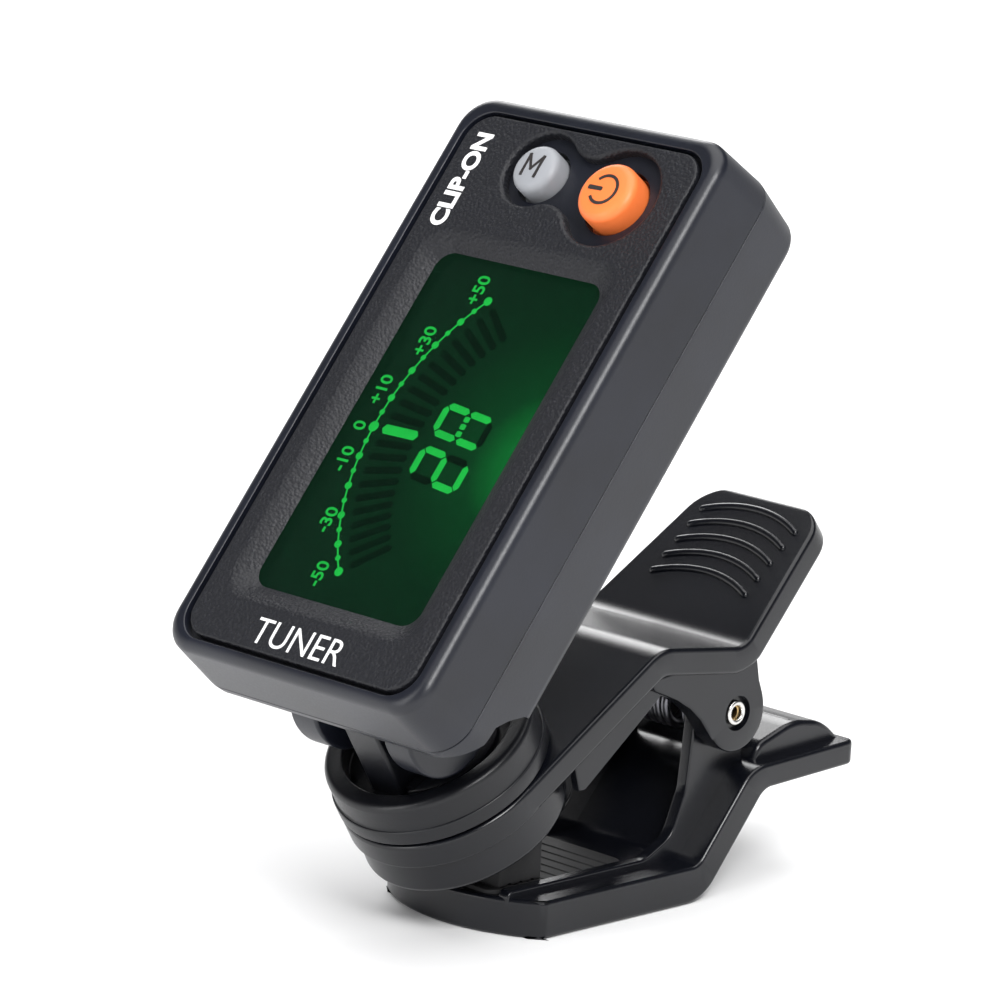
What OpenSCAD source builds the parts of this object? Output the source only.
// Clip-on instrument tuner: a display head on a two-way hinge, on a sprung clip.
// Millimetres. +X points to the finger levers, +Z up, origin under the middle of the flat jaw.

/* [Head] */
// Width of the head case
head_width = 30; // [24:0.5:40]
// Length of the head case
head_length = 54; // [46:0.5:70]
// Depth of the head case
head_depth = 12; // [11:0.1:18]
// Depth of the front shell, down to the seam
seam_depth = 6.2; // [5.8:0.1:9]
// Slope of the head's long axis above the ground, in degrees
head_slope = 52; // [20:1:80]
// Width of the visible window
window_width = 18.3; // [14:0.1:20]
// Length of the visible window
window_length = 32; // [24:0.1:34]
// How deep the window lies below the face
window_drop = 1.0; // [0.6:0.1:1.4]
// Radius of the mode button
mode_r = 2.2; // [1.5:0.05:2.6]
// Radius of the power button
power_r = 2.75; // [2:0.05:3.2]

/* [Turntable] */
// Outer radius of the turntable's collar
collar_r = 8.95; // [7:0.05:10]
// Radius of the recess inside the collar
recess_r = 7.25; // [6:0.05:7.6]
// Height of the tilt pin above the collar's top
pin_height = 4.9; // [4.8:0.05:7]
// How far the tilt pin sits in front of the turntable's axis
pin_setback = 2.07; // [0:0.05:3]
// Radius of the tilt pin
pin_r = 1.0; // [0.8:0.05:1.4]

/* [Clip] */
// Width of both arms
clip_width = 18.2; // [14:0.1:24]
// Slope of the upper arm above the ground, in degrees
arm_slope = 32.5; // [25:0.5:40]
// Slope of the upper finger lever, in degrees
lever_slope = 38.5; // [30:0.5:48]
// Length of the upper finger lever
lever_length = 14.2; // [10:0.1:20]
// Half width lost by the lever towards its tip
lever_taper = 2.1; // [0:0.1:4]
// Thickness of the upper arm
arm_t = 2.3; // [1.8:0.1:3.5]
// Thickness of the lower jaw
jaw_t = 3.15; // [2.6:0.05:3.3]
// Radius of the hollow rivet
rivet_r = 1.0; // [0.8:0.05:1.3]
// Mean radius of the jaw spring's coil
coil_r = 2.2; // [1.8:0.05:2.3]
// Radius of the spring wire
wire_r = 0.4; // [0.25:0.05:0.45]

/* [Hidden] */
$fn = 48;
eps = 0.01;
hw = clip_width / 2;
pivot = [13.14, 15.57];              // X and Z of the rivet
disc = [-14.4, 16.07];               // X and Z of the collar's top centre
gap = 0.05;                          // running clearance
pin_world = disc + pin_height * [-sin(arm_slope), cos(arm_slope)]
            - pin_setback * [cos(arm_slope), sin(arm_slope)];
pin_v = -22.3;                       // tilt pin along the head, from its middle
pin_w = -12;                         // tilt pin below the face
head_at = pin_world - [pin_v * cos(head_slope) - pin_w * sin(head_slope),
                       pin_v * sin(head_slope) + pin_w * cos(head_slope)];
hx = head_length / 2;
hy = head_width / 2;
wall = 1.6;
win_x = -3.5;                        // window middle along the head
mode_at = [20.75, 3.2];
power_at = [19.8, -5.6];
boss_at = [for (y = [-1, 1]) [hx - 3.4, y * (hy - 3.6)]];
cell_x = 4;
deck_z = -4.1;                       // upper arm's top plane below the collar's top
cup_z = -9.5;                        // bottom of the cup below the collar's top
lug_in = 6.9;
lug_out = hw - 0.3;
knuckle_in = 3.9;
pad_z = 3.5;                         // plane where the two pads meet
jaw_front = 14;                      // radius of the jaw's front edge
jaw_cx = 1.66;

// ---- shared functions ----
function unit(v) = v / norm(v);
function corner(a, b, c, r, n = 6) =
    r <= 0 ? [b] :
    let (u = unit(a - b), v = unit(c - b), t = acos(u * v) / 2,
         o = b + unit(u + v) * r / sin(t), s = b + u * r / tan(t), e = b + v * r / tan(t),
         a0 = atan2(s.y - o.y, s.x - o.x), a1 = atan2(e.y - o.y, e.x - o.x),
         d = (a1 - a0 + 900) % 360 - 180)
    [for (i = [0:n]) o + r * [cos(a0 + d * i / n), sin(a0 + d * i / n)]];
// Polygon points from [x, y, corner radius] entries
function rounded(p, n = 6) = let (m = len(p))
    [for (i = [0:m - 1]) let (a = p[(i + m - 1) % m], b = p[i], c = p[(i + 1) % m])
        each corner([a.x, a.y], [b.x, b.y], [c.x, c.y], b[2], n)];
function along(p, a, d) = p + d * [cos(a), sin(a)];
function meet(p, a, q, b) =          // crossing of two lines given by point and slope
    let (t = ((q.x - p.x) * sin(b) - (q.y - p.y) * cos(b)) / sin(b - a)) along(p, a, t);

module rect(x, y, r) {
    if (r > 0) {
        square([x - 2 * r, y], center = true);
        square([x, y - 2 * r], center = true);
        for (i = [-1, 1], j = [-1, 1]) translate([i * (x / 2 - r), j * (y / 2 - r)]) circle(r);
    } else square([x, y], center = true);
}
module slab(x, y, r, z0, z1) translate([0, 0, z0]) linear_extrude(z1 - z0) rect(x, y, r);
// Side profile in X and Z, pulled along Y from y0 to y1
module side(y0, y1) translate([0, y1, 0]) rotate([90, 0, 0]) linear_extrude(y1 - y0) children();
module both_sides() { children(); mirror([0, 1, 0]) children(); }
module y_rod(r, y0, y1) translate([0, y0, 0]) rotate([-90, 0, 0]) cylinder(r = r, h = y1 - y0);
module z_rod(r, z0, z1) translate([0, 0, z0]) cylinder(r = r, h = z1 - z0);
module in_head() translate([head_at.x, 0, head_at.y]) rotate([0, -head_slope, 0]) children();
module in_disc() translate([disc.x, 0, disc.y]) rotate([0, -arm_slope, 0]) children();
module at_pin() translate([pin_v, 0, pin_w]) children();
module at_pivot() translate([pivot.x, 0, pivot.y]) children();
module at_bosses() for (b = boss_at) translate([b.x, b.y, 0]) children();

// ---- head case ----
module figure_eight(z0, z1) {
    translate([mode_at.x + 0.2, mode_at.y, 0]) z_rod(3.45, z0, z1);
    translate([power_at.x, power_at.y, 0]) z_rod(4.45, z0, z1);
    translate([20.3, -1.2, (z0 + z1) / 2]) cube([5.1, 8.8, z1 - z0], center = true);
}

module head_front_shell() color([0.09, 0.09, 0.1]) in_head() difference() {
    hull() {
        slab(head_length, head_width, 3.2, -seam_depth + 0.02, -seam_depth + 0.05);
        slab(head_length - 0.7, head_width - 0.7, 3.0, -1.0, -0.99);
        slab(head_length - 1.3, head_width - 1.3, 2.7, -0.3, -0.29);
        slab(head_length - 2.4, head_width - 2.4, 2.2, -0.02, 0);
    }
    difference() {
        slab(head_length - 2 * wall, head_width - 2 * wall, 1.8, -seam_depth - 1, -2.2);
        at_bosses() z_rod(1.9, -seam_depth - 2, 0);
    }
    translate([-0.2, 0, 0]) slab(50.8, 26.5, 2.7, -window_drop, 1);
    translate([win_x, 0, 0]) slab(window_length + 2, window_width + 2, 2, -5, 1);
    translate([mode_at.x, mode_at.y, 0]) z_rod(mode_r + 0.3, -5, 1);
    translate([power_at.x, power_at.y, 0]) z_rod(power_r + 0.3, -5, 1);
    at_bosses() z_rod(0.82, -8, -3);
}

module face_plate() color([0.13, 0.13, 0.14]) in_head() difference() {
    translate([-0.15, 0, 0]) slab(50.1, 25.6, 2.4, -window_drop, 0);
    hull() {
        translate([win_x, 0, 0]) slab(window_length + 3.4, window_width + 3.4, 2.6, 0, 0.02);
        translate([win_x, 0, 0]) slab(window_length, window_width, 1.8, -window_drop - 0.02,
                                      -window_drop);
    }
    figure_eight(-3, 1);
}

module rear_case() difference() {
    union() {
        difference() {
            hull() {
                slab(head_length, head_width, 3.2, -seam_depth - 0.05, -seam_depth - 0.02);
                slab(head_length - 1.0, head_width - 1.0, 3.0, -head_depth + 0.9,
                     -head_depth + 0.91);
                slab(head_length - 1.7, head_width - 1.7, 2.6, -head_depth + 0.25,
                     -head_depth + 0.26);
                slab(head_length - 2.6, head_width - 2.6, 2.2, -head_depth, -head_depth + 0.02);
            }
            slab(head_length - 2 * wall, head_width - 2 * wall, 1.8, -head_depth + 1.4, 0);
        }
        at_bosses() z_rod(2.6, -head_depth + 0.4, -seam_depth - 0.05);
        // battery well
        translate([cell_x, 0, 0]) z_rod(11.1, -head_depth + 0.4, -7.0);
        // thick floor behind the hinge
        translate([pin_v - 3.9, -hy + wall - 0.1, -head_depth + 0.4])
            cube([9.1, head_width - 2 * wall + 0.2, 4.45]);
    }
    // relief that lets the head swing past the turntable
    side(-hy - 1, hy + 1) polygon([[-19.8, -13], [-20.3, -11.2], [-22.7, -8.65], [-24.4, -8.5],
        [-hx + 0.3, -7.2], [-hx - 1, -6.6], [-hx - 1, -13]]);
}

module head_rear_shell() color([0.09, 0.09, 0.1]) in_head() difference() {
    union() {
        rear_case();
        // hinge knuckles
        both_sides() at_pin() y_rod(4.6, knuckle_in, lug_in);
    }
    translate([cell_x, 0, 0]) z_rod(10.3, -head_depth + 1.4, 0);
    translate([cell_x, 0, 0]) slab(24.6, 22, 1.5, -head_depth - 1, -head_depth + 0.8);
    translate([cell_x, 0, 0]) slab(21, 20.7, 1, -head_depth - 1, -head_depth + 1.5);
    at_pin() {
        y_rod(4.1, -knuckle_in, knuckle_in);
        translate([-8, -knuckle_in, -8]) cube([8, 2 * knuckle_in, 12.1]);
        translate([-8, -knuckle_in, -8]) cube([12.1, 2 * knuckle_in, 8]);
        y_rod(pin_r + 0.02, -9, 9);
        both_sides() y_rod(1.6, lug_in - 0.5, 9);
    }
    at_bosses() { z_rod(1.0, -20, 0); z_rod(2.0, -20, -9.0); }
}

module shell_screws() color([0.55, 0.56, 0.58]) in_head() at_bosses() difference() {
    union() { z_rod(0.8, -9.1, -3.4); z_rod(1.7, -10.4, -9.02); }
    for (a = [0, 90]) rotate(a) translate([-1.1, -0.22, -10.5]) cube([2.2, 0.44, 0.7]);
}

// ---- display ----
module display_lens() color([0.1, 0.16, 0.12]) in_head() translate([win_x, 0, 0])
    slab(window_length + 1.6, window_width + 1.6, 1.9, -window_drop - 1.02, -window_drop - 0.02);

module lcd_panel() color([0.05, 0.2, 0.1]) in_head() translate([win_x, 0, 0]) {
    slab(window_length + 3, window_width + 3.7, 0, -3.4, -2.85);
    slab(window_length + 3, window_width + 1.7, 0, -2.85, -2.25);
}

module display_frame() color([0.1, 0.1, 0.1]) in_head() translate([win_x, 0, 0]) difference() {
    slab(window_length + 4.2, window_width + 5.9, 0.6, -5.15, -2.25);
    slab(window_length + 3.1, window_width + 3.8, 0, -6, -2);
}

module backlight_diffuser() color([0.75, 0.9, 0.78]) in_head() translate([win_x, 0.1, 0])
    slab(window_length + 2.6, 19.4, 0, -4.4, -3.5);

module backlight_leds() color([0.6, 0.95, 0.5]) in_head()
    for (x = [-7, 7]) translate([win_x + x, -10.35, -4.8]) cube([2.6, 0.9, 0.8], center = true);

module lcd_connector() color([0.75, 0.45, 0.5]) in_head()
    translate([win_x - 14, 10.1, -5.2]) cube([28, 0.9, 1.8]);

// ---- electronics ----
module circuit_board() color([0.05, 0.25, 0.14]) in_head() difference() {
    slab(50.2, 26.2, 0.8, -seam_depth, -seam_depth + 1);
    at_bosses() z_rod(2.3, -8, 0);
    for (x = [-18.5, -12.5], y = [-10, 10]) translate([x, y, 0]) z_rod(0.5, -8, 0);
}

module processor_chip() color([0.06, 0.06, 0.07]) in_head()
    translate([-14.5, 0, -seam_depth - 0.45]) {
        cube([5, 5, 0.7], center = true);
        for (i = [-3:3], a = [0:90:270]) rotate(a) translate([2.75, i * 0.6, -0.05])
            cube([0.6, 0.25, 0.5], center = true);
    }

module board_parts() color([0.6, 0.5, 0.35]) in_head() {
    for (i = [0:4]) translate([17 + 1.7 * i, 0.5 * pow(-1, i), -seam_depth - 0.3])
        cube([1.0, 1.6, 0.6], center = true);
    translate([-14.5, 8.2, -seam_depth - 0.6]) cube([3.2, 1.5, 1.2], center = true);
    for (y = [-9, -6.5]) translate([-14.5, y, -seam_depth - 0.3]) cube([1.6, 0.9, 0.6], center = true);
}

module switch_body(r) {
    translate([0, 0, -4.75]) cube([4.2, 4.2, 0.88], center = true);
    z_rod(r, -4.32, -3.9);
    for (x = [-1, 1], y = [-1, 1]) translate([x * 2.4, y * 1.4, -5.0])
        cube([0.8, 0.5, 0.36], center = true);
}
module mode_switch() color([0.2, 0.2, 0.22]) in_head()
    translate([mode_at.x, mode_at.y, 0]) switch_body(0.9);
module power_switch() color([0.2, 0.2, 0.22]) in_head()
    translate([power_at.x, power_at.y, 0]) switch_body(1.0);

module button(r, top) {
    rotate_extrude() polygon(rounded([[0, top + 0.12, 0], [r * 0.6, top + 0.06, 0],
        [r, top - 0.06, 0.45], [r, -2.27, 0], [r + 0.7, -2.27, 0], [r + 0.7, -2.75, 0],
        [0.9, -2.75, 0], [0.9, -3.3, 0], [0, -3.3, 0]]));
}
module mode_button() color([0.62, 0.63, 0.66]) in_head()
    translate([mode_at.x, mode_at.y, 0]) button(mode_r, 0.7);
module power_button() color([0.95, 0.45, 0.2]) in_head()
    translate([power_at.x, power_at.y, 0]) button(power_r, 1.0);

module coin_cell() color([0.75, 0.76, 0.78]) in_head() translate([cell_x, 0, 0]) {
    z_rod(10, -10.1, -7.5);
    z_rod(8.9, -7.5, -6.9);
}

module contact_negative() color([0.8, 0.68, 0.35]) in_head() translate([cell_x, 0, 0]) {
    translate([-4, -1.5, -seam_depth - 0.22]) cube([8, 3, 0.2]);
    translate([0, 0, -seam_depth - 0.45]) cube([2.4, 3, 0.46], center = true);
}

module contact_positive() color([0.8, 0.68, 0.35]) in_head() translate([cell_x, 0, 0]) {
    translate([10.02, -0.9, -9.6]) cube([0.2, 1.8, 3.38]);
    translate([10.02, -2, -seam_depth - 0.22]) cube([2.2, 4, 0.2]);
}

module battery_cover() color([0.1, 0.1, 0.11]) in_head() translate([cell_x, 0, 0]) {
    slab(24.2, 21.6, 1.4, -head_depth + 0.02, -head_depth + 0.75);
    slab(20.6, 20.3, 0.9, -head_depth + 0.75, -head_depth + 1.35);
    for (y = [-5, 0, 5]) translate([0, y, -head_depth + 1.55]) cube([12, 1, 0.6], center = true);
    for (i = [0:4]) translate([6.5 + i * 1.1, 0, -head_depth + 0.02])
        rotate([90, 0, 0]) cylinder(r = 0.25, h = 10, center = true);
}

module piezo_sensor() color([0.8, 0.65, 0.3]) in_head() translate([-12.3, 0, 0]) {
    z_rod(4.7, -head_depth + 1.42, -head_depth + 1.62);
    z_rod(3.3, -head_depth + 1.62, -head_depth + 1.85);
}

// ---- tilt hinge ----
module hinge_pin() color([0.7, 0.71, 0.73]) in_head() at_pin() difference() {
    union() {
        y_rod(pin_r, -lug_in + 0.1, lug_in - 0.1);
        both_sides() y_rod(1.5, lug_in - 0.45, lug_in - 0.05);
    }
    both_sides() translate([-1.2, lug_in - 0.25, -0.2]) cube([2.4, 1, 0.4]);
}

module hinge_washers() color([0.8, 0.8, 0.78]) in_head() at_pin() both_sides() difference() {
    y_rod(2.6, knuckle_in - 0.42, knuckle_in - 0.02);
    y_rod(pin_r + 0.03, 0, 9);
}

module turntable() color([0.1, 0.1, 0.11]) in_disc() difference() {
    union() {
        difference() {
            union() {
                z_rod(collar_r, -2.6, -0.3);
                translate([0, 0, -0.3]) cylinder(r1 = collar_r, r2 = collar_r - 0.3, h = 0.3);
                translate([0, 0, -2.6]) cylinder(r1 = collar_r + 0.2, r2 = collar_r, h = 0.2);
                z_rod(collar_r + 0.2, -3.6, -2.6);
                translate([0, 0, -3.8]) cylinder(r1 = collar_r, r2 = collar_r + 0.2, h = 0.2);
                z_rod(4.0, deck_z - arm_t - 0.05, -3.7);
            }
            z_rod(recess_r, -1.6, 1);
            translate([0, 0, -0.2]) cylinder(r1 = recess_r, r2 = recess_r + 0.21, h = 0.21);
        }
        z_rod(5.6, -2, -1.1);
        // hinge post with its cross barrel
        intersection() {
            translate([-pin_setback, 0, 0]) {
                translate([0, 0, pin_height]) y_rod(3.7, -1.9, 1.9);
                translate([-3.7, -1.9, -2]) cube([7.4, 3.8, pin_height + 2]);
            }
            z_rod(6.6, -3, 12);
        }
        translate([-pin_setback, 0, pin_height]) y_rod(3.0, -3.43, 3.43);
        // flare where the post meets the floor
        intersection() {
            z_rod(5.6, -2, 0.2);
            translate([-pin_setback - 3.7, 0, -1.1]) rotate([0, 0, 0])
                both_sides() translate([0, 1.9, 0]) rotate([90, 0, 90])
                    linear_extrude(9) polygon([[-1, -0.4], [1.3, -0.4], [0.5, 0.1], [0, 1.2], [-1, 1.2]]);
        }
    }
    translate([-pin_setback, 0, pin_height]) y_rod(pin_r + gap, -9, 9);
    z_rod(1.02, -20, -2.6);
}

module turntable_screw() color([0.6, 0.61, 0.63]) in_disc() difference() {
    union() {
        z_rod(1.0, -7.2, -2.8);
        z_rod(2.6, -8.2, -7.07);
    }
    for (a = [0, 90]) rotate(a) translate([-1.6, -0.3, -8.3]) cube([3.2, 0.6, 0.9]);
}

module turntable_washer() color([0.68, 0.69, 0.7]) in_disc() difference() {
    z_rod(6.2, -7.06, deck_z - arm_t - 0.06);
    z_rod(1.05, -10, 0);
}

// ---- upper arm ----
top_at = disc + deck_z * [-sin(arm_slope), cos(arm_slope)];
hump_at = meet(top_at, arm_slope, [7.0, 22.0], -7);
dip_at = meet([7.0, 22.0], -7, [14.8, 22.6], lever_slope);
lever_at = along(dip_at, lever_slope, 1.1);

module arm_profile() {
    a = arm_slope; b = -7; c = lever_slope;
    under = along(top_at, a - 90, arm_t);
    under2 = along(hump_at, b - 90, arm_t);
    under3 = along(lever_at, c - 90, arm_t);
    p1 = meet(under, a, under2, b);
    p2 = meet(under2, b, under3, c);
    s = along(top_at, a, 5.98);
    e = along(lever_at, c, 0.02);
    polygon(rounded([[s.x, s.y, 0], [hump_at.x, hump_at.y, 3.2], [dip_at.x, dip_at.y, 2.4],
        [e.x, e.y, 0], [along(e, c - 90, arm_t).x, along(e, c - 90, arm_t).y, 0],
        [p2.x, p2.y, 4.2], [p1.x, p1.y, 1.6],
        [along(s, a - 90, arm_t).x, along(s, a - 90, arm_t).y, 0]], 8));
}

module lever_plan() {
    y = hw - lever_taper / 12 * lever_length;
    polygon(rounded([[0, hw, 0], [lever_length, y, 2.8],
        [lever_length + 0.35, 0, 30], [lever_length, -y, 2.8], [0, -hw, 0]], 8));
}

module upper_arm() color([0.1, 0.1, 0.11]) difference() {
    union() {
        side(-hw, hw) arm_profile();
        in_disc() {
            translate([0, 0, deck_z - arm_t]) linear_extrude(arm_t) {
                circle(hw);
                translate([0, -hw]) square([6, 2 * hw]);
            }
            z_rod(8.6, deck_z - 0.1, -3.85);
            translate([0, 0, cup_z]) cylinder(r1 = hw - 0.75, r2 = hw - 0.35, h = 0.4);
            z_rod(hw - 0.35, cup_z + 0.4, deck_z - 1);
        }
        translate([lever_at.x, 0, lever_at.y]) rotate([0, -lever_slope, 0]) {
            translate([0, 0, -arm_t]) linear_extrude(arm_t) lever_plan();
            // curved grip ribs
            for (i = [0:4]) translate([5.3 + 1.85 * i - 11.4, 0, 0.05]) rotate([0, 0, -27.5])
                rotate_extrude(angle = 55) translate([11.4, 0]) circle(0.38, $fn = 16);
        }
        // pivot lugs
        both_sides() side(lug_in, lug_out) {
            translate(pivot) circle(3.3);
            polygon([[2.2, 19.9], [2.9, 18.9], [5.7, 17.7], [8.4, 15.9], [9.9, 14.9],
                [pivot.x, pivot.y - 3.0], [pivot.x + 3.05, pivot.y + 0.6], [pivot.x + 2.7, 18.1],
                [pivot.x + 2.2, 19.9], [12, 20.6]]);
        }
        // stiffening webs between cup and lugs
        both_sides() side(7.5, 8.3)
            polygon([[-4.9, 11.6], [-4.2, 11.6], [0.4, 15.2], [4.2, 18.2], [7, 17.2], [7, 20.4], [3.6, 20.9],
                [-6, 15]]);
    }
    in_disc() {
        z_rod(7.4, cup_z - 1, deck_z - arm_t);
        z_rod(4.0 + gap, -20, 0);
    }
    at_pivot() {
        y_rod(rivet_r + gap, -20, 20);
        both_sides() y_rod(rivet_r + 0.5, lug_out - 0.5, 20);
    }
}

module upper_pad() color([0.16, 0.16, 0.17]) difference() {
    union() {
        // foot that meets the lower pad
        side(-5, 5) polygon([[-10.1, pad_z + 0.01], [-5.3, pad_z + 0.01], [-5.3, 11.1], [-10.1, 8.0]]);
        in_disc() z_rod(7.38, cup_z, cup_z + 0.8);
    }
    for (i = [0:2]) translate([-9.0 + 1.3 * i, 0, pad_z]) y_rod(0.25, -6, 6);
}

// ---- jaw spring ----
wn = 8;                              // sides of the wire
coil_from = -3.0;                    // the main coil's two ends along Y
coil_to = 4.5;
leg_angle = 120;                     // where the upper leg leaves the end turn
function ring_at(a, y, t) = [for (b = [0:wn - 1]) let (q = 360 * b / wn, r = coil_r + wire_r * cos(q))
    [pivot.x + r * cos(a) - t * sin(a), y + wire_r * sin(q), pivot.y + r * sin(a) + t * cos(a)]];
// Coil from angle a0 to a1 while y runs from y0 to y1, with a straight leg after a1
module coil(a0, a1, y0, y1, leg) {
    n = ceil(abs(a1 - a0) / 18);
    s = a1 > a0 ? 1 : -1;
    rings = concat([for (i = [0:n]) ring_at(a0 + (a1 - a0) * i / n, y0 + (y1 - y0) * i / n, 0)],
        [ring_at(a1, y1, s * leg)]);
    m = len(rings);
    walls = [for (i = [0:m - 2], b = [0:wn - 1]) let (c = (b + 1) % wn)
        [i * wn + b, i * wn + c, (i + 1) * wn + c, (i + 1) * wn + b]];
    caps = [[for (b = [0:wn - 1]) b], [for (b = [wn - 1:-1:0]) (m - 1) * wn + b]];
    f = concat(walls, [[for (b = [wn - 1:-1:0]) b]], [[for (b = [0:wn - 1]) (m - 1) * wn + b]]);
    flip = (a1 > a0) == (y1 > y0);
    polyhedron(points = [for (r = rings) each r],
        faces = s > 0 ? f : [for (q = f) [for (k = [len(q) - 1:-1:0]) q[k]]], convexity = 8);
}
// The main coil ends in the leg on the lower arm; one end turn and leg ride with the upper arm
module jaw_spring() color([0.62, 0.63, 0.65]) coil(-90 - 360 * 8, -90, coil_from, coil_to, 7.4);
module jaw_spring_leg() color([0.62, 0.63, 0.65])
    coil(leg_angle + 378, leg_angle, coil_from - 0.85, coil_from - 1.76, 9.3);

// ---- lower arm ----
module lower_profile() {
    a = 50.9; b = 2.6;
    k1 = [10.0, 0];
    k2 = meet(k1, a, [19.9, 8.67], b);
    t1 = along(k1, a + 90, 2.6);
    q1 = meet([0, jaw_t], 0, t1, a);
    u2 = along([19.9, 8.67], b + 90, 2.1);
    q2 = meet(t1, a, u2, b);
    polygon(rounded([[-14, 0, 0], [k1.x, k1.y, 4.4], [k2.x, k2.y, 2.0], [28.2, 9.05, 0.6],
        [28.2, 11.15, 0.4], [q2.x, q2.y, 3.4], [q1.x, q1.y, 1.6], [-14, jaw_t, 0]], 8));
}

module lower_plan() {
    intersection() {
        union() {
            translate([jaw_cx, 0]) circle(jaw_front, $fn = 96);
            translate([jaw_cx, -hw]) square([28.2 - jaw_cx, 2 * hw]);
        }
        translate([8.2, 0]) rect(42, 2 * hw, 1.0);
    }
}

module lower_arm() color([0.1, 0.1, 0.11]) difference() {
    union() {
        intersection() {
            side(-20, 20) lower_profile();
            translate([0, 0, -1]) linear_extrude(40) lower_plan();
        }
        // inner ribs that rise to the pivot ears
        both_sides() side(5.4, 6.6) {
            translate(pivot) circle(3.0);
            polygon(rounded([[-10.8, 2, 0], [-10.8, 3.7, 0.6], [5.4, 3.75, 3], [8.3, 5.2, 2.5],
                [9.8, 9.0, 3], [10.3, 14.6, 0], [pivot.x + 2.9, pivot.y - 0.8, 0],
                [16.6, 10.4, 0], [14, 8.2, 0], [9.4, 2.6, 0]]));
        }
        // raised finger pad of the tail, with cross ribs
        side(-7.6, 7.6) polygon(rounded([[16.8, 10.4, 0], [17.4, 12.0, 1.5], [21.8, 13.4, 6],
            [25.6, 12.8, 5], [27.9, 10.9, 0.6], [27.9, 10.2, 0]]));
        for (i = [0:2]) translate([22.0 + 1.25 * i, 0, 12.95 - 0.12 * i - 0.06 * i * i]) y_rod(0.36, -7, 7);
    }
    at_pivot() y_rod(rivet_r + 0.02, -20, 20);
    // relief for the coil between the ears
    at_pivot() y_rod(3.2, -5.39, 5.39);
}

module lower_pad() color([0.16, 0.16, 0.17]) difference() {
    translate([0, 0, jaw_t + 0.01]) linear_extrude(pad_z - jaw_t - 0.01) intersection() {
        translate([-3.4, 0]) rect(15.6, 10.4, 1.2);
        translate([jaw_cx, 0]) circle(jaw_front - 0.8, $fn = 96);
    }
    for (i = [0:8]) translate([-9.65 + 1.5 * i, 0, pad_z + 0.08]) y_rod(0.2, -6, 6);
}

module pivot_rivet() color([0.75, 0.72, 0.62]) at_pivot() difference() {
    union() {
        y_rod(rivet_r, -lug_out + 0.1, lug_out - 0.1);
        both_sides() translate([0, lug_out - 0.4, 0]) rotate([-90, 0, 0])
            cylinder(r1 = rivet_r, r2 = rivet_r + 0.2, h = 0.15);
        both_sides() y_rod(rivet_r + 0.2, lug_out - 0.25, lug_out);
    }
    y_rod(0.55, -20, 20);
    both_sides() translate([0, lug_out - 0.3, 0]) rotate([-90, 0, 0])
        cylinder(r1 = 0.55, r2 = 0.85, h = 0.31);
}

head_front_shell();
face_plate();
display_lens();
display_frame();
lcd_panel();
backlight_diffuser();
backlight_leds();
lcd_connector();
circuit_board();
processor_chip();
board_parts();
mode_switch();
power_switch();
mode_button();
power_button();
coin_cell();
contact_positive();
contact_negative();
battery_cover();
piezo_sensor();
head_rear_shell();
shell_screws();
hinge_pin();
hinge_washers();
turntable();
turntable_screw();
turntable_washer();
upper_arm();
upper_pad();
jaw_spring_leg();
lower_arm();
lower_pad();
pivot_rivet();
jaw_spring();
